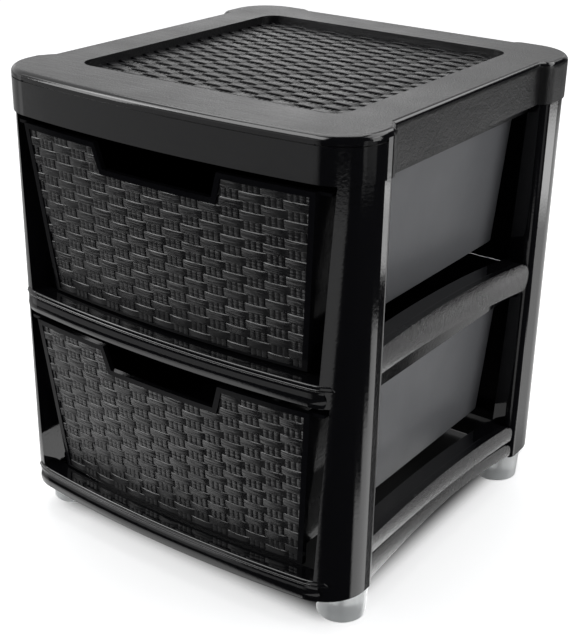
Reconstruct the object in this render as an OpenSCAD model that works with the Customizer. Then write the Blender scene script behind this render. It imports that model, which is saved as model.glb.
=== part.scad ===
// Plastic drawer tower: two drawers hang in two stacked tiers under a woven-top cover.
// Row frame: origin on the floor under the middle, +Z up, the front faces -Y.

/* [Overall] */
// Width over the corner posts
body_w = 335; // [310:1:360]
// Depth from the back corners to the middle of the bowed front
body_d = 355; // [330:1:380]
// How far the front bows out over the full width
front_bow = 12.5; // [8:0.5:16]
// Outer radius of the four upright corners
corner_r = 38; // [34:1:42]
// Height of one drawer tier
tier_h = 165; // [155:1:185]
// Height of the cover's skirt
cover_h = 34; // [30:1:40]
// Height of the feet under the lower tier
foot_h = 29; // [20:1:36]

/* [Sides and back] */
// How far the cover's sides sit back between the corners
side_recess = 8; // [4:0.5:10]
// How far the cover's back sits back between the corners
back_recess = 4; // [2:0.5:6]
// Flat length of a front corner along the side
front_ear = 7; // [4:1:20]
// Flat length of a back corner along the side
back_ear = 15; // [6:1:30]
// Radius of the corner's own edge beside a recess
ear_r = 12; // [11.5:0.5:14]

/* [Walls] */
// Moulded wall of the frames and the cover
wall = 2.5; // [2:0.1:3]
// How far the posts sit back from the cover and the rails
post_inset = 1.5; // [1:0.1:2]
// Clearance between plugged pieces
fit_gap = 0.3; // [0.2:0.05:0.5]

/* [Cover] */
// Radius of the cover's top edge
edge_r = 5; // [3:0.5:5.5]
// Land between the sunk woven deck and each side of the cover
deck_side_land = 45.5; // [42.5:0.5:56]
// Land between the deck and the middle of the bowed front
deck_front_land = 55; // [48:1:70]
// Corner radius of the deck
deck_r = 15; // [8:1:25]
// How far the deck lies below the top
deck_drop = 8; // [5:0.5:12]
// Land between the deck and the back edge
deck_back_land = 44; // [40:1:50]
// Width of the groove under the front edge
groove_w = 1.2; // [0.8:0.1:2]
// Depth of the groove under the front edge
groove_d = 1; // [0.5:0.1:1.5]

/* [Posts] */
// Width of a front post at the top of a tier
post_top_w = 18.9; // [15.5:0.1:21.5]
// Width of a front post at the foot of a tier
post_foot_w = 27; // [23.5:0.5:29.5]
// Edge radius of a post beside the side window
post_edge_r = 7; // [5:0.5:8]
// How far a post's window face slopes away from the window, in degrees
post_slope = 22; // [10:1:30]
// Height of the tongue on top of a post
tongue_h = 8; // [5:0.5:12]

/* [Rails] */
// Height of the front and back rails
rail_h = 18; // [15:0.5:22]
// How far the front rail's round ends lie over the posts
rail_lap = 12.5; // [9.5:0.5:15.5]
// Width of the ledge inside a cross rail
rail_ledge = 14; // [8:0.5:18]
// How far the band of a cross rail bulges
rail_bulge = 0.8; // [0.3:0.1:1.5]
// How far the web of a cross rail lies behind its band
rail_web = 0.7; // [0.5:0.1:0.8]

/* [Side rails] */
// Height of the upper side rail's top edge at its front end
mid_top_front = 38; // [34:0.5:42]
// Height of the upper side rail's top edge at its back end
mid_top_back = 28; // [24:0.5:32]
// Height of the upper side rail's lower edge at its front end
mid_low_front = 16; // [12:0.5:18]
// Height of the upper side rail's lower edge at its back end
mid_low_back = 2; // [0:0.5:6]
// Height of the lower side rail's top edge at its front end
base_top_front = 44; // [40:0.5:48]
// Height of the lower side rail's top edge at its back end
base_top_back = 36; // [32:0.5:40]
// Height of the groove in the lower side rail at its front end
base_groove_front = 27; // [24:0.5:30]
// Height of the groove in the lower side rail at its back end
base_groove_back = 18; // [14:0.5:22]
// Height of the lower side rail's lower edge at both ends
base_low = 3; // [0:0.5:5]
// How far the edges of the side rails rise in an arch
rail_rise = 6; // [3:0.5:9]
// How far the lower edge of the lower side rail rises in an arch
base_rise = 14; // [8:0.5:16]
// Radius of a side rail's crown
crown_r = 60; // [40:1:90]
// Thickness of a side rail's outer band at the middle of its crown
rail_skin = 5; // [4:0.5:8]
// Gap between a side rail's back end and the back post's side
rail_end_gap = 8; // [4:0.5:14]
// How far a side rail's crown stays behind the posts' side faces
rail_inset = 0.5; // [0:0.1:1]
// Corner radius of a side rail's back end
rail_end_r = 11; // [6:0.5:14]

/* [Drawers] */
// Gap between a drawer's top and the piece above it
drawer_drop = 5.5; // [5:0.5:8]
// Gap between a drawer's front and the rail under it
front_gap = 1.5; // [1:0.1:6]
// Gap between a drawer's flange and the top of the front posts
flange_gap = 3.6; // [3.4:0.1:6]
// How far a drawer's flange stands out beside its front
flange_w = 9.7; // [7:0.1:12]
// Thickness of a drawer's flange
flange_t = 2.5; // [2:0.1:3]
// How far the tub's side lies in from the edge of its front
tub_step = 1.3; // [0.5:0.1:4]
// How far each side of a drawer leans in from top to bottom
draft = 11.5; // [8:0.1:14]
// How far the bowed front of a drawer leans back from top to bottom
front_draft = 14; // [10:0.5:16]
// Wall of the tub
tub_wall = 2.5; // [2:0.1:3]
// Gap between the ends of the runners and the back rail
runner_end_gap = 2; // [1:0.5:12]
// How far a drawer's flange stands out behind the tub
flange_tail = 8; // [6:0.5:12]
// Corner radius of the flange
flange_r = 12; // [8:1:20]
// Corner radius of the tub under the flange
tub_r = 24; // [22:1:34]
// How far the tub's floor lies above the lower edge of the front
tub_lift = 17; // [12:0.5:24]
// Width of the flat border at the top and sides of a woven front
border_w = 4.5; // [3:0.5:7]
// Width of the flat border under a woven front
border_foot_w = 2; // [1:0.5:5]
// How far the drawer's front stands back from the cover's front
front_inset = 1; // [0.5:0.1:2]
// How far the woven field lies behind the border
field_drop = 2.2; // [1.5:0.1:3]

/* [Handle] */
// Half width of the handle notch at its top
notch_top = 57; // [45:1:65]
// Half width of the handle notch at its foot
notch_foot = 51; // [40:1:60]
// Depth of the handle notch
notch_d = 20; // [16:0.5:26]

/* [Runners] */
// Width of a runner's foot
runner_w = 11; // [8:0.5:12]
// Thickness of a runner's foot and web
runner_t = 2; // [1.6:0.1:2.2]
// Width of the lip over a drawer's flange
runner_lip = 4; // [3:0.5:6]
// Clearance beside a drawer's flange
runner_side = 0.5; // [0.3:0.1:0.6]
// Clearance above and below a drawer's flange
runner_gap = 0.3; // [0.3:0.1:0.6]
// Length of runner behind the drawer's flange
runner_stop = 3; // [2:0.5:6]
// How far a runner reaches past the axis of the front corner
runner_nose = 14; // [10:1:16]

/* [Feet] */
// Radius of a foot
foot_r = 21; // [18:0.5:22]
// How far a foot tapers to the floor
foot_taper = 1.5; // [0:0.1:3]
// Radius of a foot's plug
plug_r = 9; // [6:0.5:12]
// Height of a foot's plug
plug_h = 11; // [8:0.5:11.5]
// How far a foot stands out from the corner's centre towards the side
foot_out = 13.5; // [8:0.5:14]
// How far a foot stands in from the corner's centre towards the middle of the depth
foot_in = 4; // [0:0.5:6]

/* [Hidden] */
$fn = 96;
fine = 256;
// Clearance at the foot plugs, the hair of the bowed front and the flat of its cut edges
seat_gap = 0.1;
hair = 0.05;
edge_flat = 0.1;
// How far shapes that only cut, or are cut off later, run past the solid
past = 2;
// How far a side rail's inner wall runs into each post
wall_lap = 6;

half_w = body_w / 2;
front_y = -body_d / 2;
back_y = body_d / 2;
opening_top = half_w - post_top_w;
opening_foot = half_w - post_foot_w;
rail_reach = opening_foot + rail_lap;

// Levels of the tiers and the cover
base_z = foot_h;
mid_z = base_z + tier_h;
cover_z = mid_z + tier_h;
cover_top = cover_z + cover_h;

// The front is an arc of one large circle, and the corners run into it smoothly.
bow_r = half_w * half_w / (2 * front_bow) + front_bow / 2;
bow_y = front_y + bow_r;
corner_x = half_w - corner_r;
front_corner_y = bow_y - sqrt(pow(bow_r - hair - corner_r, 2) - pow(corner_x, 2));
back_corner_y = back_y - corner_r;
bow_a = asin(corner_x / (bow_r - corner_r));
front_ear_y = front_corner_y + front_ear;
back_ear_y = back_corner_y - back_ear;

back_ear_x = corner_x - back_ear;

// Sizes and levels of a drawer, the levels above the foot of its tier
flange_reach = opening_top - flange_gap;
front_top = flange_reach - flange_w;
tub_top = front_top - tub_step;
back_rail_y = back_y - back_recess - wall - rail_ledge;
flange_back = back_rail_y - runner_end_gap - runner_stop;
tub_back = flange_back - flange_tail;
drawer_top = tier_h - drawer_drop;
front_foot = rail_h + front_gap;
drawer_h = drawer_top - front_foot;
tub_foot = front_foot + tub_lift;
lean = draft / drawer_h;
tilt = front_draft / drawer_h;
front_bottom = front_top - draft;

// Level of the ledge's underside in a cross rail
rail_ledge_z = rail_h - rail_h / 14 - wall;

// Runner levels under the piece that carries it
runner_top = -drawer_drop - flange_t - runner_gap;
runner_foot = runner_top - runner_t;
runner_out = flange_reach + runner_side + runner_t;
runner_front_y = front_corner_y - runner_nose;

// Ends of the side rails, and the middle of the feet
rail_front_y = front_ear_y;
rail_back_y = back_ear_y - rail_end_gap;
foot_x = corner_x + foot_out;
front_foot_y = front_corner_y + foot_in;
back_foot_y = back_corner_y - foot_in;

black = [0.05, 0.05, 0.055];
clear = [0.88, 0.9, 0.92];

// ---- Shapes used by several pieces -------------------------------------------------------

// Both halves of something that is drawn on the right
module both_sides() {
    children();
    mirror([1, 0, 0])
        children();
}

// A section from the corner's axis out, taken along the bowed front and round its corners.
// The front stands a hair proud, so that the two surfaces never run through each other.
module along_front(reach) {
    both_sides()
        translate([corner_x, front_corner_y, 0])
            rotate_extrude() {
                $reach = reach;
                children();
            }
    translate([0, bow_y, 0])
        rotate([0, 0, 270 - bow_a])
            rotate_extrude(angle = 2 * bow_a, $fn = 2048)
                translate([bow_r - corner_r - hair, 0]) {
                    $reach = reach + hair;
                    children();
                }
}

// ---- Cover -------------------------------------------------------------------------------

// Section to the right of an axis with a round top edge; it runs past the body's top and foot
module round_edge(w, inset) {
    r = edge_r - inset;
    z = cover_h - inset - r + edge_flat;
    translate([0, -past])
        square([w, z + past]);
    translate([0, -past])
        square([w - r, z + r + past]);
    translate([w - r, z])
        circle(r);
}

// A slab across the whole width, from one y to another
module wide_slab(half, y0, y1, inset) {
    both_sides()
        translate([0, y1, 0])
            rotate([90, 0, 0])
                linear_extrude(y1 - y0)
                    round_edge(half - inset, inset);
}

// A slab that reaches back to a round edge, over a stretch of x
module back_slab(x0, x1, y, inset) {
    translate([x0, 0, 0])
        rotate([90, 0, 90])
            linear_extrude(x1 - x0)
                round_edge(y - inset, inset);
}

// A round end of a slab
module button(c, r, inset) {
    translate([c[0], c[1], 0])
        rotate_extrude()
            round_edge(r - inset, inset);
}

// The cover as a solid, drawn in by an inset: bowed front, square ears, recessed sides and back
module cover_body(inset, foot) {
    intersection() {
        union() {
            wide_slab(half_w - side_recess, front_ear_y - 1, back_ear_y + 1, inset);
            wide_slab(half_w, front_corner_y, front_ear_y, inset);
            wide_slab(half_w, back_ear_y, back_corner_y, inset);
            back_slab(-back_ear_x, back_ear_x, back_y - back_recess, inset);
            along_front(corner_r - inset)
                round_edge($reach, inset);
            translate([-corner_x, front_corner_y - corner_r / 2, -past])
                cube([2 * corner_x, corner_r / 2 + 1, cover_h + past]);
            both_sides() {
                button([half_w - ear_r, front_ear_y], ear_r, inset);
                button([half_w - ear_r, back_ear_y], ear_r, inset);
                button([corner_x, back_corner_y], corner_r, inset);
                back_slab(back_ear_x, corner_x, back_y, inset);
                button([back_ear_x, back_y - ear_r], ear_r, inset);
            }
        }
        translate([-body_w, -body_d, foot])
            cube([2 * body_w, 2 * body_d, cover_h - inset - foot]);
    }
}

module deck_shape(grow) {
    r = deck_r + grow;
    x = half_w - deck_side_land - deck_r;
    y_back = back_y - deck_back_land - deck_r;
    y_front = front_y + deck_front_land + deck_r;
    for (sx = [-x, x])
        for (y = [y_front, y_back])
            translate([sx, y])
                circle(r);
    translate([-x - r, y_front])
        square([2 * (x + r), y_back - y_front]);
    translate([-x, y_front - r])
        square([2 * x, y_back - y_front + 2 * r]);
}

// A channel that a drawer's flange runs in, drawn on the right: web, foot, lip and back stop
module runner(web_top) {
    l = flange_back + runner_stop - runner_front_y;
    x = runner_out - runner_t;
    translate([x, runner_front_y, runner_foot])
        cube([runner_t, l, web_top - runner_foot]);
    translate([runner_out - runner_w, runner_front_y, runner_foot])
        cube([runner_w, l, runner_t]);
    translate([x - runner_lip, runner_front_y, runner_gap - drawer_drop])
        cube([runner_lip + runner_t, l, runner_t]);
    translate([runner_out - runner_w, flange_back + runner_gap, runner_foot])
        cube([runner_w, runner_stop - runner_gap, web_top - runner_foot]);
}

// The fine groove under the round edge of the bowed front
module front_groove() {
    z = cover_h - edge_r - 1.5 - groove_w;
    translate([0, bow_y, z])
        rotate([0, 0, 270 - bow_a])
            rotate_extrude(angle = 2 * bow_a, $fn = 2048)
                translate([bow_r - groove_d, 0])
                    square([2 * groove_d, groove_w]);
    both_sides()
        translate([corner_x, front_corner_y, z])
            rotate([0, 0, 270 + bow_a])
                rotate_extrude(angle = 90 - bow_a)
                    translate([corner_r - groove_d, 0])
                        square([2 * groove_d, groove_w]);
}

module top_cover() color(black)
    translate([0, 0, cover_z])
        difference() {
            union() {
                difference() {
                    cover_body(0, 0);
                    cover_body(wall, -1);
                }
                translate([0, 0, cover_h - deck_drop - wall])
                    linear_extrude(deck_drop + wall / 2)
                        deck_shape(wall);
                both_sides()
                    runner(cover_h - wall / 2);
            }
            translate([0, 0, cover_h - deck_drop])
                linear_extrude(deck_drop + 1)
                    deck_shape(0);
            front_groove();
        }

// ---- Side frames -------------------------------------------------------------------------

// Plan of a front post on the right, drawn in by an inset, with its window edge cut off straight
module post_core(inset, ear) {
    i = inset + post_inset;
    r = post_edge_r - inset;
    c = [half_w - post_inset - post_edge_r, front_corner_y + ear];
    a = 90 + post_slope;
    e = c + r * [cos(a), sin(a)];
    t = (e[0] - corner_x) / cos(post_slope);
    intersection() {
        translate([corner_x, front_corner_y])
            circle(corner_r - i);
        translate([corner_x, front_corner_y - corner_r])
            square([corner_r, corner_r + ear / 3]);
    }
    polygon([
        [corner_x, front_corner_y - corner_r / 2],
        [half_w - i, front_corner_y],
        [half_w - i, c[1]],
        e,
        e + t * [-cos(post_slope), -sin(post_slope)]
    ]);
}

// The post's own outline, with a round window edge
module post_plan(ear) {
    post_core(0, ear);
    translate([half_w - post_inset - post_edge_r, front_corner_y + ear])
        circle(post_edge_r);
}

// Everything on the right of the post's inner face, which leans with the opening
module beyond_opening(inset, z0, z1) {
    s = (opening_top - opening_foot) / tier_h;
    rotate([90, 0, 0])
        linear_extrude(2 * body_d, center = true)
            polygon([
                [opening_foot + s * z0 + inset, z0],
                [body_w, z0],
                [body_w, z1],
                [opening_foot + s * z1 + inset, z1]
            ]);
}

// Everything right of a plane and up to a height
module right_of(x, z0, z1) {
    translate([x, -body_d, z0])
        cube([body_w, 2 * body_d, z1 - z0]);
}

// A hollow corner post, and the tongue on it that plugs into the piece above
module post(ear) {
    tongue_x = opening_top + wall + fit_gap;
    tongue_z = tier_h - tongue_h;
    difference() {
        union() {
            intersection() {
                linear_extrude(tier_h)
                    post_plan(ear);
                beyond_opening(0, -1, tier_h + 1);
            }
            intersection() {
                linear_extrude(tier_h + tongue_h)
                    post_core(wall + fit_gap, ear);
                right_of(tongue_x, tongue_z, tier_h + tongue_h + 1);
            }
        }
        intersection() {
            translate([0, 0, -1])
                linear_extrude(tongue_z + 1)
                    post_core(wall, ear);
            beyond_opening(wall, -2, tier_h);
        }
        intersection() {
            linear_extrude(tier_h + tongue_h + 2)
                post_core(wall + fit_gap + wall, ear);
            right_of(tongue_x + wall, tongue_z - 1, tier_h + tongue_h + 1);
        }
    }
}

module front_post() {
    post(front_ear);
}

// A back post is the same column with a longer flat side, turned to face the back
module back_post() {
    translate([0, back_corner_y + front_corner_y, 0])
        mirror([0, 1, 0])
            post(back_ear);
}

// A disc whose rim is an arc from a front level to a back level, y to the right and z up
function arc_radius(c, rise) = c * c / (8 * rise) + rise / 2;

module under_arc(z_front, z_back, rise) {
    a = [rail_front_y, z_front];
    b = [rail_back_y, z_back];
    c = norm(b - a);
    r = arc_radius(c, rise);
    n = [a[1] - b[1], b[0] - a[0]] / c;
    translate((a + b) / 2 - (r - rise) * n)
        circle(r, $fn = 2048);
}

// The band between two arcs, with a round upper corner at its back end
module arched_band(top_front, top_back, low_front, low_back, low_rise, inset) {
    end_y = rail_back_y - inset;
    r = rail_end_r;
    difference() {
        intersection() {
            under_arc(top_front - inset, top_back - inset, rail_rise);
            union() {
                translate([rail_front_y + inset, -tier_h])
                    square([end_y - r - rail_front_y - inset, 2 * tier_h]);
                translate([rail_front_y + inset, -tier_h])
                    square([end_y - rail_front_y - inset, tier_h + top_back - r]);
                translate([end_y - r, top_back - r])
                    circle(r);
            }
        }
        under_arc(low_front, low_back, low_rise);
    }
}

// Stands a y-z shape up between two values of x
module across(x0, x1) {
    translate([x0, 0, 0])
        rotate([90, 0, 90])
            linear_extrude(x1 - x0)
                children();
}

// A round bar along the side whose outer face gives a rail its crown
module crown(z_front, z_back, reach) {
    tilt = atan2(z_back - z_front, rail_back_y - rail_front_y);
    translate([reach - crown_r, (rail_front_y + rail_back_y) / 2, (z_front + z_back) / 2 + rail_rise / 2])
        rotate([tilt, 0, 0])
            rotate([90, 0, 0])
                cylinder(h = 2 * body_d, r = crown_r, center = true, $fn = fine);
}

// An arched band with a crown, and the sheet that joins it to the inner wall
module rail_band(top_front, top_back, low_front, low_back, low_rise) {
    inner_x = runner_out - runner_t;
    middle_front = (top_front + low_front) / 2;
    middle_back = (top_back + low_back) / 2;
    intersection() {
        difference() {
            across(inner_x, half_w)
                arched_band(top_front, top_back, low_front, low_back, low_rise, 0);
            across(inner_x + runner_t, half_w - post_inset - rail_skin)
                difference() {
                    under_arc(top_front - wall, top_back - wall, rail_rise);
                    translate([rail_back_y - wall, -tier_h])
                        square([tier_h, 2 * tier_h]);
                }
        }
        crown(middle_front, middle_back, half_w - post_inset - rail_inset);
    }
}

// The wall inside a side rail, from post to post
module rail_wall(top_front, top_back, low) {
    across(runner_out - runner_t, runner_out)
        intersection() {
            under_arc(top_front - wall / 2, top_back - wall / 2, rail_rise);
            translate([rail_front_y - wall_lap, low])
                square([rail_back_y - rail_front_y + rail_end_gap + 2 * wall_lap, tier_h]);
        }
}

module upper_frame() {
    front_post();
    back_post();
    rail_band(mid_top_front, mid_top_back, mid_low_front, mid_low_back, rail_rise);
    rail_wall(mid_top_front, mid_top_back, 0);
    runner(wall);
}

// A corner sheet at the foot of the lowest tier, with the sleeve of a foot's plug
module foot_socket(foot_y) {
    translate([foot_x, foot_y, 0])
        cylinder(h = wall, r = foot_r - seat_gap);
    translate([foot_x, foot_y, 0])
        cylinder(h = plug_h + wall, r = plug_r + fit_gap + wall);
}

module plug_bore(foot_y) {
    translate([foot_x, foot_y, -1])
        cylinder(h = plug_h + fit_gap + 1, r = plug_r + fit_gap);
}

module lower_frame() {
    difference() {
        union() {
            front_post();
            back_post();
            foot_socket(front_foot_y);
            foot_socket(back_foot_y);
            rail_band(
                base_top_front,
                base_top_back,
                base_groove_front + groove_w,
                base_groove_back + groove_w,
                rail_rise
            );
            rail_band(base_groove_front, base_groove_back, base_low, base_low, base_rise);
            rail_wall(base_top_front, base_top_back, base_groove_back / 2);
        }
        plug_bore(front_foot_y);
        plug_bore(back_foot_y);
    }
}

// ---- Cross rails -------------------------------------------------------------------------

// Section of a cross rail as a solid of a given width: a bulged band, a bead and a round top
// edge. It runs past the rail's top and foot.
module rail_section(w) {
    bead = rail_h / 7;
    band_h = rail_h - 2 * bead - groove_w;
    band_r = arc_radius(band_h, rail_bulge);
    intersection() {
        translate([w - band_r, band_h / 2])
            circle(band_r, $fn = fine);
        translate([0, -1])
            square([w, band_h + 1]);
    }
    translate([0, -1])
        square([w - rail_web, rail_h + 1 - bead / 2]);
    translate([0, -1])
        square([w - rail_web - bead / 2, rail_h + 2]);
    translate([w - (rail_web + bead) / 2, rail_h - 1.5 * bead])
        circle(bead / 2);
    translate([w - rail_web - bead / 2, rail_h - bead / 2 + edge_flat])
        circle(bead / 2);
}

// Front view of a cross rail, with round ends
module rail_face() {
    r = 0.6 * rail_h;
    intersection() {
        union() {
            for (x = [r - rail_reach, rail_reach - r])
                translate([x, rail_h / 2])
                    circle(r);
            translate([r - rail_reach, -1])
                square([2 * (rail_reach - r), rail_h + 2]);
        }
        translate([-rail_reach, 0])
            square([2 * rail_reach, rail_h]);
    }
}

module front_rail() {
    rear_y = front_corner_y - corner_r / 2;
    difference() {
        intersection() {
            along_front(corner_r)
                rail_section($reach);
            translate([0, rear_y, 0])
                rotate([90, 0, 0])
                    linear_extrude(body_d)
                        rail_face();
        }
        translate([0, bow_y, -1])
            cylinder(h = rail_ledge_z + 1, r = bow_r - wall, $fn = 2048);
        translate([0, bow_y, -1])
            cylinder(h = rail_h + 2, r = bow_r - wall - rail_ledge, $fn = 2048);
        both_sides()
            intersection() {
                translate([0, 0, -1])
                    linear_extrude(tier_h)
                        post_core(-seat_gap, front_ear);
                beyond_opening(-fit_gap, -2, tier_h);
            }
    }
}

// The back rail, and the plain sheet on its ledge that closes the back of the tier
module back_rail() {
    half = opening_foot - fit_gap;
    w = wall + rail_ledge;
    sheet_z = rail_ledge_z + wall / 2;
    sheet_top = tier_h - seat_gap;
    s = (opening_top - opening_foot) / tier_h;
    translate([0, back_y - back_recess - wall, 0])
        rotate([90, 0, 0])
            linear_extrude(wall)
                polygon([
                    [-half - s * sheet_z, sheet_z],
                    [half + s * sheet_z, sheet_z],
                    [half + s * sheet_top, sheet_top],
                    [-half - s * sheet_top, sheet_top]
                ]);
    translate([-half, back_rail_y, 0])
        rotate([90, 0, 90])
            linear_extrude(2 * half)
                difference() {
                    intersection() {
                        rail_section(w);
                        square([w, rail_h]);
                    }
                    translate([-1, -1])
                        square([w - wall + 1, rail_ledge_z + 1]);
                }
}

// ---- Drawers -----------------------------------------------------------------------------

// Everything behind the bowed front, which leans back towards its foot
module behind_front(inset, over = 0) {
    translate([0, bow_y, front_foot - over])
        cylinder(
            h = drawer_h + 2 * over,
            r1 = bow_r - front_draft - inset - tilt * over,
            r2 = bow_r - inset + tilt * over,
            $fn = 2048
        );
}

// Front view of a drawer with its handle notch, drawn in by an inset and by another at its foot
module front_shape(inset, foot_inset) {
    notch_s = (notch_top - notch_foot) / notch_d;
    top = drawer_top - inset;
    foot = front_foot + foot_inset;
    notch_z = drawer_top - notch_d - inset;
    corners = [
        [notch_foot + inset - notch_s * inset, notch_z],
        [notch_top + inset - notch_s * inset, top],
        [front_top - inset - lean * inset, top],
        [front_bottom - inset + lean * foot_inset, foot]
    ];
    polygon([for (p = corners) p, for (i = [3:-1:0]) [-corners[i][0], corners[i][1]]]);
}

// Stands a front view up through the whole depth
module through_front() {
    rotate([90, 0, 0])
        linear_extrude(2 * body_d, center = true)
            children();
}

// The tub as a solid: its walls lean in towards the foot and its back corners are cones
module tub_solid(inset, z0, z1) {
    w = tub_top - inset;
    b = tub_back - inset;
    cx = tub_top - tub_r;
    cy = tub_back - tub_r;
    d0 = lean * (drawer_top - z0);
    d1 = lean * (drawer_top - z1);
    difference() {
        rotate([90, 0, 0])
            linear_extrude(2 * body_d, center = true)
                polygon([[-w + d0, z0], [w - d0, z0], [w - d1, z1], [-w + d1, z1]]);
        translate([-body_w, cy, z0 - 1])
            cube([2 * body_w, 2 * body_d, z1 - z0 + 2]);
    }
    translate([-cx, 0, 0])
        rotate([90, 0, 90])
            linear_extrude(2 * cx)
                polygon([[front_y, z0], [b - d0, z0], [b - d1, z1], [front_y, z1]]);
    for (x = [-cx, cx])
        translate([x, cy, z0])
            cylinder(h = z1 - z0, r1 = tub_r - inset - d0, r2 = tub_r - inset - d1);
}

// Plan of the flange, round at the back
module flange_plan() {
    r = flange_r;
    x = flange_reach - r;
    y = flange_back - r;
    for (sx = [-x, x])
        translate([sx, y])
            circle(r);
    translate([-flange_reach, front_y])
        square([2 * flange_reach, y - front_y]);
    translate([-x, front_y])
        square([2 * x, flange_back - front_y]);
}

// The hole under the handle: it goes through the front and the tub's wall behind it
module notch_cut() {
    notch_s = (notch_top - notch_foot) / notch_d;
    top = notch_top + notch_s;
    rotate([90, 0, 0])
        linear_extrude(body_d)
            polygon([
                [-notch_foot, drawer_top - notch_d],
                [notch_foot, drawer_top - notch_d],
                [top, drawer_top + 1],
                [-top, drawer_top + 1]
            ]);
}

module drawer() {
    skin = front_inset + field_drop;
    difference() {
        union() {
            intersection() {
                union() {
                    tub_solid(0, tub_foot, drawer_top);
                    translate([0, 0, drawer_top - flange_t])
                        linear_extrude(flange_t)
                            flange_plan();
                }
                behind_front(skin + tub_wall / 2, 1);
            }
            intersection() {
                through_front()
                    front_shape(0, 0);
                difference() {
                    behind_front(front_inset, 1);
                    behind_front(skin + tub_wall, 1);
                }
            }
        }
        intersection() {
            tub_solid(tub_wall, tub_foot + tub_wall, drawer_top + 1);
            behind_front(skin + tub_wall, 2);
        }
        intersection() {
            through_front()
                front_shape(border_w, border_foot_w);
            difference() {
                behind_front(0, 1);
                behind_front(skin, 1);
            }
        }
        notch_cut();
    }
}

// ---- Feet --------------------------------------------------------------------------------

// A round push-in foot standing on the floor
module foot(x, y)
    translate([x, y, 0]) {
        rotate_extrude()
            polygon([
                [0, 0],
                [foot_r - foot_taper - 1, 0],
                [foot_r - foot_taper, 1],
                [foot_r, foot_h],
                [0, foot_h]
            ]);
        translate([0, 0, foot_h - 1])
            cylinder(h = plug_h + 1, r = plug_r);
    }

// ---- All together ------------------------------------------------------------------------

module upper_right_frame() color(black)
    translate([0, 0, mid_z])
        upper_frame();

module upper_left_frame() color(black)
    mirror([1, 0, 0])
        translate([0, 0, mid_z])
            upper_frame();

module upper_front_rail() color(black)
    translate([0, 0, mid_z])
        front_rail();

module upper_back_rail() color(black)
    translate([0, 0, mid_z])
        back_rail();

module upper_drawer() color(black)
    translate([0, 0, mid_z])
        drawer();

module lower_right_frame() color(black)
    translate([0, 0, base_z])
        lower_frame();

module lower_left_frame() color(black)
    mirror([1, 0, 0])
        translate([0, 0, base_z])
            lower_frame();

module lower_front_rail() color(black)
    translate([0, 0, base_z])
        front_rail();

module lower_back_rail() color(black)
    translate([0, 0, base_z])
        back_rail();

module lower_drawer() color(black)
    translate([0, 0, base_z])
        drawer();

module front_left_foot() color(clear)
    foot(-foot_x, front_foot_y);

module front_right_foot() color(clear)
    foot(foot_x, front_foot_y);

module back_left_foot() color(clear)
    foot(-foot_x, back_foot_y);

module back_right_foot() color(clear)
    foot(foot_x, back_foot_y);

top_cover();
upper_left_frame();
upper_right_frame();
upper_front_rail();
upper_back_rail();
upper_drawer();
lower_left_frame();
lower_right_frame();
lower_front_rail();
lower_back_rail();
lower_drawer();
front_left_foot();
front_right_foot();
back_left_foot();
back_right_foot();
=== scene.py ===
import math

import bpy
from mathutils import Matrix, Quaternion, Vector


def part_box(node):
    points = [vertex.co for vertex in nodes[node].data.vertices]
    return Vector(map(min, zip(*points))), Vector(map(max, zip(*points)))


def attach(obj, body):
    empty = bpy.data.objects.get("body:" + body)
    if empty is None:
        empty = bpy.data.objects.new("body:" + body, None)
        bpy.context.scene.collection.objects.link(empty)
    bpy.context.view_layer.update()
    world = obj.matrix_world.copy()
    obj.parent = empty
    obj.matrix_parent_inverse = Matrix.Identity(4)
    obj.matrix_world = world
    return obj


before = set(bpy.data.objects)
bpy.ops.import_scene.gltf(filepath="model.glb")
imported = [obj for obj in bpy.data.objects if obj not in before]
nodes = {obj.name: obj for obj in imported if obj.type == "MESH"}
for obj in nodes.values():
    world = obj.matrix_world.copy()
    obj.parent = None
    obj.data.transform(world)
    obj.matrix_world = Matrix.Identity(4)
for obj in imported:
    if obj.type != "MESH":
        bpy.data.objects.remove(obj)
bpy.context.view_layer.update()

MM = 0.001

# ---- Camera ------------------------------------------------------------------------------------
# A plain camera on a tripod, a little above the tower and to the right of its front.

camera_target = Vector((-6.1, 6.1, 160.5)) * MM
camera_back = Vector((580.7, -832.0, 622.0)) * MM - camera_target
camera_roll = math.radians(1.12)

bpy.ops.object.select_all(action="DESELECT")
bpy.ops.object.camera_add(location=camera_target + camera_back)
camera = bpy.context.object
camera.name = "camera"
camera.rotation_mode = "QUATERNION"
camera.rotation_quaternion = (-camera_back).to_track_quat("-Z", "Y") @ Quaternion((0, 0, 1), camera_roll)
camera.data.lens = 72
camera.data.sensor_width = 36
camera.data.clip_start = 0.05
camera.data.clip_end = 50
bpy.context.scene.camera = camera

# ---- Studio ------------------------------------------------------------------------------------
# A white sweep on the floor that keeps the shadow, soft boxes above and beside the tower, and
# cards and black flags round it that only its gloss can see.

bpy.context.scene.view_settings.view_transform = "Standard"

floor_size = 14.0
floor_shade = 0.78
# The floor's tone where a shadow is painted under the tower:
painted_shadow_tone = 0.05
camera_lift = 0.58
world_light = 0.55
base_glow = 0.01
lean_height = 0.36


def node(tree, kind, link=None, **values):
    """A node with its settings and unlinked sockets set, fed by the sockets in link."""
    made = tree.nodes.new(kind)
    for key, value in values.items():
        setattr(made, key, value)
    for socket, source in (link or {}).items():
        if isinstance(source, bpy.types.NodeSocket):
            tree.links.new(source, made.inputs[socket])
        else:
            made.inputs[socket].default_value = source
    return made


def step(tree, value, low, high):
    """A soft step from 0 to 1 as a value goes from low to high, or back down where low is the higher."""
    made = node(tree, "ShaderNodeMapRange", {"Value": value, "From Min": low, "From Max": high})
    made.interpolation_type = "SMOOTHSTEP"
    return made.outputs[0]


def times(tree, first, second):
    return node(tree, "ShaderNodeMath", {0: first, 1: second}, operation="MULTIPLY").outputs[0]


def plus(tree, first, second):
    return node(tree, "ShaderNodeMath", {0: first, 1: second}, operation="ADD").outputs[0]


def size_of(tree, value):
    return node(tree, "ShaderNodeMath", {0: value}, operation="ABSOLUTE").outputs[0]


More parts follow.
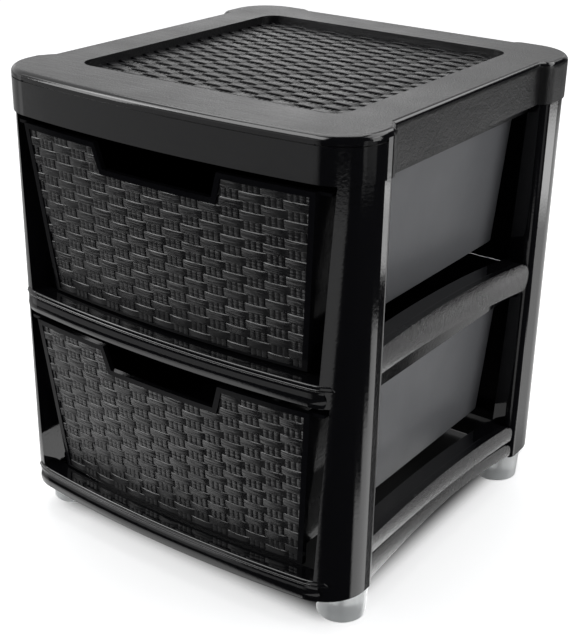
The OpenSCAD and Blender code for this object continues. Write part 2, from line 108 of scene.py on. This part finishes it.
def object_place(tree):
    return node(tree, "ShaderNodeTexCoord").outputs["Object"]


def split(tree, vector):
    """The X, Y and Z of a vector."""
    return node(tree, "ShaderNodeSeparateXYZ", {0: vector}).outputs


# Each card: the bearing that it starts and ends at, in degrees from +X to +Y, how far that turns
# with height, the width of its soft edge, its foot and top as heights of a unit direction, the
# softness of those, and its brightness. Where cards overlap, their brightness adds up.
cards = [
    # The right-hand wall, in the side rails and the tubs, and its edge in the cover and the posts.
    (62, 118, 0, 3, -2.0, -0.16, 0.06, 0.12),
    (62, 118, 0, 3, -0.48, -0.255, 0.04, 0.75),
    (62, 118, 0, 3, -2.0, -0.48, 0.04, 0.4),
    (62, 118, 0, 3, -2.0, -0.575, 0.05, 2.2),
    (56, 70, 0, 5, -0.32, -0.245, 0.03, 1.8),
    (57.5, 61, 0, 1.5, -0.375, -0.31, 0.02, 3.0),
    (38, 57, 0, 6, -0.475, -0.41, 0.02, 1.7),
    (26, 57, 0, 8, -0.53, -0.475, 0.03, 1.8),
    (10, 57, 0, 8, -0.64, -0.53, 0.03, 1.8),
    # The left-hand wall, in the left post, the drawers' fronts and the front rails.
    (126, 209, 0, 8, -2.0, 2.0, 0.1, 0.45),
    (196, 260, 0, 12, -0.335, 0.1, 0.03, 0.5),
    (126, 239, 0, 8, -2.0, -0.50, 0.05, 0.95),
    (205, 242, 0, 5, -2.0, -0.58, 0.05, 0.35),
    # The slanted strip in the front right post, and a strip over it in the cover's corner.
    (293, 320, 150, 5, -0.62, -0.32, 0.03, 0.75),
    (352, 370, 0, 3, -0.31, 0.1, 0.03, 0.5),
    (-9, 23, 0, 5, -0.31, 0.1, 0.03, 0.3),
    # The ceiling, in the cover's top and the deck, and two lamps in the weave's upper edges.
    (88, 262, 0, 15, 0.02, 2.0, 0.1, 0.5),
    (100, 118, 0, 8, 0.18, 0.45, 0.06, 0.3),
    (118, 129, 0, 4, 0.12, 0.5, 0.1, 1.2),
    (205, 268, 0, 10, 0.42, 0.85, 0.08, 5.0),
    (20, 90, 0, 10, 0.45, 0.85, 0.08, 3.0),
]

world = bpy.data.worlds.new("studio")
bpy.context.scene.world = world
world.use_nodes = True
tree = world.node_tree
tree.nodes.clear()
axes = split(tree, node(tree, "ShaderNodeTexCoord").outputs["Generated"])
turn = node(tree, "ShaderNodeMath", {0: axes["Y"], 1: axes["X"]}, operation="ARCTAN2")
round_up = node(tree, "ShaderNodeMath", {0: turn.outputs[0], 1: 2 * math.pi, 2: 0.0}, operation="WRAP")
bearing = node(tree, "ShaderNodeMath", {0: round_up.outputs[0]}, operation="DEGREES").outputs[0]
glow = base_glow
for start, end, lean, edge, low, high, blur, level in cards:
    turned = plus(tree, bearing, times(tree, plus(tree, axes["Z"], lean_height), -lean))
    opens = step(tree, turned, start - edge / 2, start + edge / 2)
    closes = step(tree, turned, end + edge / 2, end - edge / 2)
    rises = step(tree, axes["Z"], low - blur / 2, low + blur / 2)
    fades = step(tree, axes["Z"], high + blur / 2, high - blur / 2)
    card = times(tree, times(tree, opens, closes), times(tree, rises, fades))
    glow = plus(tree, glow, times(tree, card, level))
mirrored = node(tree, "ShaderNodeBackground", {"Color": (1, 1, 1, 1), "Strength": glow})
seen = node(tree, "ShaderNodeBackground", {"Color": (1, 1, 1, 1), "Strength": 1.0})
lit = node(tree, "ShaderNodeBackground", {"Color": (0.97, 0.98, 1, 1), "Strength": world_light})
path = node(tree, "ShaderNodeLightPath")
shown = plus(tree, path.outputs["Is Camera Ray"], path.outputs["Is Transmission Ray"])
plain = node(tree, "ShaderNodeMixShader", {0: shown, 1: lit.outputs[0], 2: seen.outputs[0]})
glossy = path.outputs["Is Glossy Ray"]
full = node(tree, "ShaderNodeMixShader", {0: glossy, 1: plain.outputs[0], 2: mirrored.outputs[0]})
node(tree, "ShaderNodeOutputWorld", {"Surface": full.outputs[0]})

# The floor: under the tower, and a little behind it, a shadow is painted into it: its tone is
# deepened and its glow cut, over edges that start outside the feet and end further in. The gloss
# looks through it to the cards.
shade_side = (155 * MM, 130 * MM)
shade_front = (-160 * MM, -130 * MM)
shade_back = (198 * MM, 180 * MM)

bpy.ops.object.select_all(action="DESELECT")
bpy.ops.mesh.primitive_plane_add(size=floor_size)
floor = bpy.context.object
floor.name = "floor"
floor_paint = bpy.data.materials.new("white_sweep")
floor_paint.use_nodes = True
tree = floor_paint.node_tree
tree.nodes.clear()
axes = split(tree, object_place(tree))
# The painted shadow on the floor under the tower and just behind it: a dark tone there, and no camera glow.
along = times(tree, step(tree, axes["Y"], *shade_front), step(tree, axes["Y"], *shade_back))
painted_shadow_mask = times(tree, step(tree, size_of(tree, axes["X"]), *shade_side), along)
open_floor = node(tree, "ShaderNodeMath", {0: 1.0, 1: painted_shadow_mask}, operation="SUBTRACT").outputs[0]
shade = node(tree, "ShaderNodeMix", {"Factor": painted_shadow_mask}, data_type="RGBA")
shade.inputs[6].default_value = (floor_shade, floor_shade, floor_shade, 1)
shade.inputs[7].default_value = (painted_shadow_tone, painted_shadow_tone, painted_shadow_tone, 1)
matt = node(tree, "ShaderNodeBsdfDiffuse", {"Color": shade.outputs[2]})
path = node(tree, "ShaderNodeLightPath")
share = times(tree, times(tree, path.outputs["Is Camera Ray"], camera_lift), open_floor)
lift = node(tree, "ShaderNodeEmission", {"Color": (1, 1, 1, 1), "Strength": share})
blend = node(tree, "ShaderNodeAddShader", {0: matt.outputs[0], 1: lift.outputs[0]})
clear = node(tree, "ShaderNodeBsdfTransparent")
glossy = path.outputs["Is Glossy Ray"]
either = node(tree, "ShaderNodeMixShader", {0: glossy, 1: blend.outputs[0], 2: clear.outputs[0]})
node(tree, "ShaderNodeOutputMaterial", {"Surface": either.outputs[0]})
floor.data.materials.append(floor_paint)


def soft_box(name, place, aim, width, height, watts):
    """An area lamp at a place, turned to what it lights."""
    bpy.ops.object.select_all(action="DESELECT")
    bpy.ops.object.light_add(type="AREA", location=place)
    lamp = bpy.context.object
    lamp.name = name
    lamp.data.shape = "RECTANGLE"
    lamp.data.size = width
    lamp.data.size_y = height
    lamp.data.energy = watts
    lamp.rotation_mode = "QUATERNION"
    lamp.rotation_quaternion = (Vector(aim) - Vector(place)).to_track_quat("-Z", "Y")
    return lamp


soft_box("box_top", (-0.3, 0.3, 1.7), (0, 0, 0.2), 1.3, 1.3, 14)
soft_box("box_right", (1.6, 0.5, 0.7), (0, 0, 0.2), 0.7, 1.2, 7)
soft_box("box_left", (-1.4, -1.3, 0.9), (0, 0, 0.2), 0.5, 1.2, 8)

# ---- Black plastic -------------------------------------------------------------------------------
# Every moulding but the feet is the same black polypropylene: polished tools leave it glossy with
# a slight ripple, and handling leaves fine rub marks along the edges.

black = (0.0035, 0.0035, 0.0042, 1)


def effect(name, inputs, outputs):
    """An empty node group with its sockets, and its input and output nodes."""
    group = bpy.data.node_groups.new(name, "ShaderNodeTree")
    for label, kind, value in inputs:
        socket = group.interface.new_socket(name=label, in_out="INPUT", socket_type=kind)
        if value is not None:
            socket.default_value = value
    for label, kind in outputs:
        group.interface.new_socket(name=label, in_out="OUTPUT", socket_type=kind)
    return group, group.nodes.new("NodeGroupInput"), group.nodes.new("NodeGroupOutput")


def noise(tree, vector, scale, detail):
    """Noise from 0 to 1 over a place."""
    made = node(tree, "ShaderNodeTexNoise", {"Vector": vector, "Scale": scale, "Detail": detail})
    return made.outputs["Fac"]


# Ripple: a height that wanders slowly over the surface, with a finer orange peel on it.
ripple, group_in, group_out = effect(
    "ripple",
    [
        ("Slow", "NodeSocketFloat", 9.0),
        ("Fine", "NodeSocketFloat", 420.0),
        ("Peel", "NodeSocketFloat", 0.08),
    ],
    [("Height", "NodeSocketFloat")],
)
place = object_place(ripple)
slow = noise(ripple, place, group_in.outputs["Slow"], 2.0)
fine = noise(ripple, place, group_in.outputs["Fine"], 1.0)
total = plus(ripple, slow, times(ripple, fine, group_in.outputs["Peel"]))
ripple.links.new(total, group_out.inputs["Height"])

# Rub: how much the gloss is dulled, in soft patches crossed by fine scratches.
rub, group_in, group_out = effect(
    "rub",
    [("Clean", "NodeSocketFloat", 0.07), ("Dull", "NodeSocketFloat", 0.2)],
    [("Roughness", "NodeSocketFloat")],
)
place = object_place(rub)
turned = {"Vector": place, "Rotation": (0.2, 0.5, 0.3), "Scale": (30, 700, 260)}
stretch = node(rub, "ShaderNodeMapping", turned)
both = times(rub, noise(rub, place, 16.0, 4.0), noise(rub, stretch.outputs[0], 1.0, 2.0))
spread = node(rub, "ShaderNodeMapRange", {"Value": both, "From Min": 0.15, "From Max": 0.5})
clean, dull = group_in.outputs["Clean"], group_in.outputs["Dull"]
level = node(rub, "ShaderNodeMix", {"Factor": spread.outputs[0], 2: clean, 3: dull})
rub.links.new(level.outputs[0], group_out.inputs["Roughness"])


def gloss_plastic(name, colour, clean, dull, depth):
    """Polished plastic: rippled, and dulled in patches."""
    paint = bpy.data.materials.new(name)
    paint.use_nodes = True
    tree = paint.node_tree
    shader = tree.nodes["Principled BSDF"]
    shader.inputs["Base Color"].default_value = colour
    shader.inputs["IOR"].default_value = 1.5
    wear = node(tree, "ShaderNodeGroup", node_tree=rub)
    wear.inputs["Clean"].default_value = clean
    wear.inputs["Dull"].default_value = dull
    tree.links.new(wear.outputs["Roughness"], shader.inputs["Roughness"])
    height = node(tree, "ShaderNodeGroup", node_tree=ripple).outputs["Height"]
    bump = node(tree, "ShaderNodeBump", {"Height": height, "Strength": 1.0, "Distance": depth})
    tree.links.new(bump.outputs[0], shader.inputs["Normal"])
    return paint


def paint_node(name, *paints):
    """Gives a CAD node its material."""
    slots = nodes[name].data.materials
    slots.clear()
    for paint in paints:
        slots.append(paint)


# ---- Feet --------------------------------------------------------------------------------------
# Four round feet of cloudy clear plastic, pushed into sleeves in the lowest corners.

foot_plastic = bpy.data.materials.new("cloudy_clear")
foot_plastic.use_nodes = True
tree = foot_plastic.node_tree
shader = tree.nodes["Principled BSDF"]
shader.inputs["Base Color"].default_value = (0.86, 0.88, 0.88, 1)
shader.inputs["Roughness"].default_value = 0.28
shader.inputs["IOR"].default_value = 1.49
shader.inputs["Transmission Weight"].default_value = 0.55
height = node(tree, "ShaderNodeGroup", node_tree=ripple).outputs["Height"]
bump = node(tree, "ShaderNodeBump", {"Height": height, "Strength": 1.0, "Distance": 0.4 * MM})
tree.links.new(bump.outputs[0], shader.inputs["Normal"])
for name in ("front_left_foot", "front_right_foot", "back_left_foot", "back_right_foot"):
    paint_node(name, foot_plastic)

# ---- Tiers -------------------------------------------------------------------------------------
# Each tier is two side frames, hollow posts joined by an arched rail, and a cross rail plugged in
# at the front and the back. All are polished, and the tier above stands on their tongues.

frame_plastic = gloss_plastic("frame_gloss", black, 0.05, 0.12, 0.3 * MM)
for tier in ("upper", "lower"):
    for piece in ("left_frame", "right_frame", "front_rail", "back_rail"):
        paint_node(tier + "_" + piece, frame_plastic)

# Etched: where the tool is etched instead of polished, a mask that is 1, and the fine straight
# grain that it leaves there.
etched, group_in, group_out = effect(
    "etched",
    [
        ("Mask", "NodeSocketFloat", 1.0),
        ("Gloss", "NodeSocketFloat", 0.07),
        ("Satin", "NodeSocketFloat", 0.36),
    ],
    [("Roughness", "NodeSocketFloat"), ("Grain", "NodeSocketFloat")],
)
place = object_place(etched)
long_way = node(etched, "ShaderNodeMapping", {"Vector": place, "Scale": (14, 240, 240)})
both = plus(etched, noise(etched, long_way.outputs[0], 1.0, 3.0), noise(etched, place, 800.0, 1.0))
etched.links.new(times(etched, both, group_in.outputs["Mask"]), group_out.inputs["Grain"])
cloud = noise(etched, place, 22.0, 4.0)
uneven = node(etched, "ShaderNodeMapRange", {"Value": cloud, "From Min": 0.3, "From Max": 0.7})
uneven.inputs["To Min"].default_value = 0.88
uneven.inputs["To Max"].default_value = 1.14
satin = times(etched, group_in.outputs["Satin"], uneven.outputs[0])
mask, gloss = group_in.outputs["Mask"], group_in.outputs["Gloss"]
level = node(etched, "ShaderNodeMix", {"Factor": mask, 2: gloss, 3: satin})
etched.links.new(level.outputs[0], group_out.inputs["Roughness"])


def etch(paint, mask, satin, depth):
    """Makes a polished plastic satin where the mask is 1."""
    tree = paint.node_tree
    shader = tree.nodes["Principled BSDF"]
    gloss = shader.inputs["Roughness"].links[0].from_socket
    wave = shader.inputs["Normal"].links[0].from_socket
    skin = node(tree, "ShaderNodeGroup", {"Mask": mask, "Gloss": gloss}, node_tree=etched)
    skin.inputs["Satin"].default_value = satin
    tree.links.new(skin.outputs["Roughness"], shader.inputs["Roughness"])
    fine = node(tree, "ShaderNodeBump", {"Height": skin.outputs["Grain"], "Distance": depth, "Normal": wave})
    tree.links.new(fine.outputs[0], shader.inputs["Normal"])


def larger(tree, first, second):
    return node(tree, "ShaderNodeMath", {0: first, 1: second}, operation="MAXIMUM").outputs[0]


# The side rails are satin on their crowned outer bands, between the posts. Each pair of values is
# where the satin starts and where it is full. The upper band's heights are above its tier's foot.
band_side = (157.5 * MM, 159 * MM)
band_front, band_back = (-123.5 * MM, -122 * MM), (118.5 * MM, 117 * MM)
upper_band_top, upper_band_foot = (50 * MM, 46 * MM), (-2 * MM, 1 * MM)
lower_band_top = (83 * MM, 78 * MM)

band_paint = gloss_plastic("side_frame", black, 0.05, 0.12, 0.3 * MM)
tree = band_paint.node_tree
axes = split(tree, object_place(tree))
outside = step(tree, size_of(tree, axes["X"]), *band_side)
tier_z = plus(tree, axes["Z"], -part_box("upper_front_rail")[0][2])
upper_band = times(tree, step(tree, tier_z, *upper_band_top), step(tree, tier_z, *upper_band_foot))
either_band = larger(tree, upper_band, step(tree, axes["Z"], *lower_band_top))
between = times(tree, step(tree, axes["Y"], *band_front), step(tree, axes["Y"], *band_back))
etch(band_paint, times(tree, times(tree, outside, between), either_band), 0.25, 0.18 * MM)
for name in ("upper_left_frame", "upper_right_frame", "lower_left_frame", "lower_right_frame"):
    paint_node(name, band_paint)

# The back rail of the lowest tier has a lip that hangs under it between the two back feet.
rail_low, rail_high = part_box("lower_back_rail")
lip_half = rail_high[0] - 3 * MM
lip_top, lip_foot = rail_low[2] + 2 * MM, rail_low[2] - 23 * MM
lip_y, lip_t = rail_high[1] - 1.7 * MM, 2 * MM
bpy.ops.object.select_all(action="DESELECT")
bpy.ops.mesh.primitive_cube_add(size=1)
lip = bpy.context.object
lip.name = "lower_back_lip"
lip.scale = (2 * lip_half, lip_t, lip_top - lip_foot)
lip.location = (0, lip_y, (lip_top + lip_foot) / 2)
bpy.ops.object.transform_apply(location=True, rotation=False, scale=True)
round_off = lip.modifiers.new("round", "BEVEL")
round_off.width = 0.8 * MM
round_off.segments = 3
bpy.ops.object.modifier_apply(modifier="round")
bpy.ops.object.shade_smooth_by_angle(angle=math.radians(40))
lip.data.materials.append(frame_plastic)
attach(lip, "tower")

# ---- Drawers -----------------------------------------------------------------------------------
# A drawer is one moulding: a tub with leaning walls, hung by its flange, behind a bowed front with
# a handle notch. Its front and inside are polished, and the tub is etched satin outside, where its
# colour is also painted pale grey: a painted reflection of the bright floor.

outer_reach = (85 * MM, 95 * MM)
tub_front_end = (-130 * MM, -122 * MM)
# The pale grey painted on the tub's outside as a reflection of the bright floor:
floor_reflection_grey = (0.12, 0.122, 0.128, 1)

tub_plastic = gloss_plastic("drawer_gloss", black, 0.07, 0.18, 0.3 * MM)
tree = tub_plastic.node_tree
place = object_place(tree)
normal = node(tree, "ShaderNodeNewGeometry").outputs["True Normal"]
level_place = node(tree, "ShaderNodeVectorMath", {0: place, 1: (1, 1, 0)}, operation="MULTIPLY").outputs[0]
reach = node(tree, "ShaderNodeVectorMath", {0: level_place, 1: normal}, operation="DOT_PRODUCT")
outer_face = step(tree, reach.outputs["Value"], *outer_reach)
behind_front = step(tree, split(tree, place)["Y"], *tub_front_end)
tub_outside = times(tree, outer_face, behind_front)
etch(tub_plastic, tub_outside, 0.5, 0.04 * MM)
in_front = step(tree, split(tree, place)["Y"], *reversed(tub_front_end))
shine = node(tree, "ShaderNodeMapRange", {"Value": times(tree, outer_face, in_front)})
shine.inputs["To Min"].default_value = 0.5
shine.inputs["To Max"].default_value = 0.06
tree.links.new(shine.outputs[0], tree.nodes["Principled BSDF"].inputs["Specular IOR Level"])
# The tub's outside gets the pale grey colour, a painted reflection of the bright floor.
painted_reflection = node(tree, "ShaderNodeMix", {"Factor": tub_outside}, data_type="RGBA")
painted_reflection.inputs[6].default_value = black
painted_reflection.inputs[7].default_value = floor_reflection_grey
tree.links.new(painted_reflection.outputs[2], tree.nodes["Principled BSDF"].inputs["Base Color"])
for drawer in ("upper_drawer", "lower_drawer"):
    paint_node(drawer, tub_plastic)

# ---- Cover -------------------------------------------------------------------------------------
# The cover is moulded with a fine straight grain on its top and sides, and polished on its front
# and round the sunk deck.

cover_corner = (-126.5 * MM, -124 * MM)

cover_plastic = gloss_plastic("cover_gloss", black, 0.06, 0.15, 0.3 * MM)
tree = cover_plastic.node_tree
normal = node(tree, "ShaderNodeNewGeometry").outputs["True Normal"]
facing_up = split(tree, normal)["Z"]
past_corner = step(tree, split(tree, object_place(tree))["Y"], *cover_corner)
on_side = times(tree, past_corner, step(tree, facing_up, 0.6, 0.3))
etch(cover_plastic, larger(tree, step(tree, facing_up, 0.93, 0.99), on_side), 0.38, 0.32 * MM)
paint_node("top_cover", cover_plastic)

# ---- Woven panels ------------------------------------------------------------------------------
# The fronts and the deck are moulded as a weave: flat strands lie in rows and pass over bundles of
# three thin stakes, each row half a step from the next, all in one with the piece that has them.

cover_low, cover_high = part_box("top_cover")
half_w = cover_high[0]
front_bow = 12.5 * MM
bow_r = half_w**2 / (2 * front_bow) + front_bow / 2
bow_y = cover_low[1] + bow_r

row_pitch = 7.19 * MM
hump_pitch = 36 * MM
hump_length = 25 * MM
hump_width = 7.05 * MM
hump_rise = 2.0 * MM
root = 0.6 * MM
stake_width = 4.55 * MM
stake_pitch = 4.65 * MM
stake_rise = 0.6 * MM
bundle_pitch = hump_pitch / 2


def leave_only(*pieces):
    """Selects these and nothing else, the first being the active one."""
    bpy.ops.object.select_all(action="DESELECT")
    for piece in pieces:
        piece.select_set(True)
    bpy.context.view_layer.objects.active = pieces[0]


def repeat(piece, count, offset):
    """Repeats a piece a number of times, each a fixed way on from the last."""
    copies = piece.modifiers.new("repeat", "ARRAY")
    copies.use_relative_offset = False
    copies.use_constant_offset = True
    copies.constant_offset_displace = offset
    copies.count = count
    leave_only(piece)
    bpy.ops.object.modifier_apply(modifier="repeat")


def model_hump():
    """One hump of a strand, lying along X with its back up: a cube that is cut, arched and chamfered."""
    bpy.ops.object.select_all(action="DESELECT")
    bpy.ops.mesh.primitive_cube_add(size=1)
    hump = bpy.context.object
    hump.scale = (hump_length, hump_width, hump_rise)
    bpy.ops.object.transform_apply(location=False, rotation=False, scale=True)
    bpy.ops.object.mode_set(mode="EDIT")
    for share in (-0.44, -0.33, -0.17, 0.17, 0.33, 0.44):
        bpy.ops.mesh.select_all(action="SELECT")
        bpy.ops.mesh.bisect(plane_co=(share * hump_length, 0, 0), plane_no=(1, 0, 0))
    for share in (-0.42, 0.42):
        bpy.ops.mesh.select_all(action="SELECT")
        bpy.ops.mesh.bisect(plane_co=(0, share * hump_width, 0), plane_no=(0, 1, 0))
    bpy.ops.object.mode_set(mode="OBJECT")
    for v in hump.data.vertices:
        if v.co.z > 0:
            edge = abs(v.co.y) > 0.45 * hump_width
            share = abs(v.co.x) / (hump_length / 2)
            v.co.z = hump_rise * (1 - 0.9 * share**2.6) - (0.4 * MM if edge else 0)
            v.co.z = max(v.co.z, -root / 2)
        else:
            v.co.z = -root
    return hump


def weave(name, outline, hump_at, stake_middle):
    """A flat woven field: its outline as x and y, the middle of one hump, the height of the stakes."""
    left, right = min(p[0] for p in outline), max(p[0] for p in outline)
    low, high = min(p[1] for p in outline), max(p[1] for p in outline)
    columns = math.ceil((right - left) / hump_pitch) + 2
    first_x = hump_at[0] - math.ceil((hump_at[0] - left) / hump_pitch) * hump_pitch
    first_y = hump_at[1] + math.ceil((high - hump_at[1]) / (2 * row_pitch)) * 2 * row_pitch
    pairs = math.ceil((first_y - low) / (2 * row_pitch)) + 1
    strands = model_hump()
    leave_only(strands)
    bpy.ops.object.duplicate(linked=False)
    between = bpy.context.object
    for part, dx, dy in ((strands, 0, 0), (between, -bundle_pitch, row_pitch)):
        part.location = (first_x + dx, first_y + dy, 0)
        leave_only(part)
        bpy.ops.object.transform_apply(location=True, rotation=False, scale=False)
        repeat(part, columns, (hump_pitch, 0, 0))
        repeat(part, pairs + 1, (0, -2 * row_pitch, 0))
    leave_only(strands, between)
    bpy.ops.object.join()

    bpy.ops.object.select_all(action="DESELECT")
    length = high - low + 2 * row_pitch
    half = stake_width / 2
    bpy.ops.mesh.primitive_cylinder_add(vertices=10, radius=half, depth=length, end_fill_type="NGON")
    stakes = bpy.context.object
    stakes.rotation_euler = (math.radians(90), 0, 0)
    bpy.ops.object.transform_apply(location=False, rotation=True, scale=False)
    for v in stakes.data.vertices:
        v.co.z = math.copysign(stake_rise * abs(v.co.z / half) ** 0.4, v.co.z)
    stakes.location = (first_x - bundle_pitch - stake_pitch, (low + high) / 2, stake_middle)
    bpy.ops.object.transform_apply(location=True, rotation=False, scale=False)
    repeat(stakes, 3, (stake_pitch, 0, 0))
    repeat(stakes, 2 * columns, (bundle_pitch, 0, 0))

    bpy.ops.object.select_all(action="DESELECT")
    bpy.ops.mesh.primitive_circle_add(vertices=len(outline), radius=1, fill_type="NGON")
    border = bpy.context.object
    for v, place in zip(border.data.vertices, outline):
        v.co = (place[0], place[1], -2 * hump_rise)
    bpy.ops.object.mode_set(mode="EDIT")
    bpy.ops.mesh.select_all(action="SELECT")
    bpy.ops.mesh.extrude_region_move(TRANSFORM_OT_translate={"value": (0, 0, 4 * hump_rise)})
    bpy.ops.mesh.select_all(action="SELECT")
    bpy.ops.mesh.normals_make_consistent(inside=False)
    bpy.ops.object.mode_set(mode="OBJECT")
    for part in (strands, stakes):
        trim = part.modifiers.new("trim", "BOOLEAN")
        trim.operation = "INTERSECT"
        trim.solver = "EXACT"
        trim.object = border
        leave_only(part)
        bpy.ops.object.modifier_apply(modifier="trim")
    bpy.data.objects.remove(border)
    leave_only(strands, stakes)
    bpy.ops.object.join()
    strands.name = name
    bpy.ops.object.shade_smooth_by_angle(angle=math.radians(28))
    return strands


woven_paint = bpy.data.materials.new("woven_satin")
woven_paint.use_nodes = True
tree = woven_paint.node_tree
shader = tree.nodes["Principled BSDF"]
shader.inputs["Base Color"].default_value = black
shader.inputs["IOR"].default_value = 1.5
shader.inputs["Specular IOR Level"].default_value = 0.42
place = object_place(tree)
grain_place = node(tree, "ShaderNodeMapping", {"Vector": place, "Scale": (45, 520, 520)})
grain = noise(tree, grain_place.outputs[0], 1.0, 3.0)
patch = noise(tree, place, 45.0, 3.0)
gloss = node(tree, "ShaderNodeMapRange", {"Value": patch, "From Min": 0.3, "From Max": 0.7})
gloss.inputs["To Min"].default_value = 0.2
gloss.inputs["To Max"].default_value = 0.34
tree.links.new(gloss.outputs[0], shader.inputs["Roughness"])
bump = node(tree, "ShaderNodeBump", {"Height": grain, "Strength": 1.0, "Distance": 0.5 * MM})
tree.links.new(bump.outputs[0], shader.inputs["Normal"])

# The field of a front, as heights above its tier's foot and half widths: it is the drawer's own
# outline inside the border, with the handle's notch in its top edge.
drawer_top = 159.5 * MM
field_skin = 3.2 * MM
front_tilt = 14 / 140
field_top, field_foot, notch_floor = 155 * MM, 21.5 * MM, 135 * MM
half_top, half_foot = 130.43 * MM, 119.4 * MM
notch_out, notch_in = 60.15 * MM, 54.15 * MM
clearance = 0.1 * MM


def field_radius(z):
    return bow_r - field_skin - front_tilt * (drawer_top - z)


def unrolled(x, z):
    """The place on the unrolled field of a point x from the middle and z above the tier's foot."""
    return (bow_r * math.asin(x / field_radius(z)), z)


right_edge = [
    (half_foot - clearance, field_foot + clearance),
    (half_top - clearance, field_top - clearance),
    (notch_out + clearance, field_top - clearance),
    (notch_in + clearance, notch_floor - clearance),
]
front_outline = [unrolled(x, z) for x, z in right_edge] + [unrolled(-x, z) for x, z in reversed(right_edge)]

for tier in ("upper", "lower"):
    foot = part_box(tier + "_front_rail")[0][2]
    panel = weave(tier + "_woven_front", front_outline, (-5.5 * MM, 152.8 * MM), 0.75 * MM)
    for v in panel.data.vertices:
        reach = field_radius(v.co.y) + v.co.z
        angle = v.co.x / bow_r
        v.co = (reach * math.sin(angle), bow_y - reach * math.cos(angle), v.co.y + foot)
    panel.data.materials.append(woven_paint)
    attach(panel, tier + "_drawer")

deck_half, deck_front, deck_back, deck_r = 122 * MM, -122.5 * MM, 133.5 * MM, 15 * MM
deck_floor = cover_high[2] - 8 * MM
deck_outline = []
for quarter, x, y in (
    (0, deck_half - deck_r, deck_back - deck_r),
    (1, deck_r - deck_half, deck_back - deck_r),
    (2, deck_r - deck_half, deck_front + deck_r),
    (3, deck_half - deck_r, deck_front + deck_r),
):
    for k in range(7):
        angle = math.radians(90 * quarter + 15 * k)
        reach = deck_r - clearance
        deck_outline.append((x + reach * math.cos(angle), y + reach * math.sin(angle)))
deck = weave("woven_deck", deck_outline, (-51 * MM, 102 * MM), 0.2 * MM)
for v in deck.data.vertices:
    v.co.z += deck_floor
deck_paint = woven_paint.copy()
deck_paint.name = "deck_satin"
deck_paint.node_tree.nodes["Principled BSDF"].inputs["Specular IOR Level"].default_value = 0.15
deck.data.materials.append(deck_paint)
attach(deck, "tower")
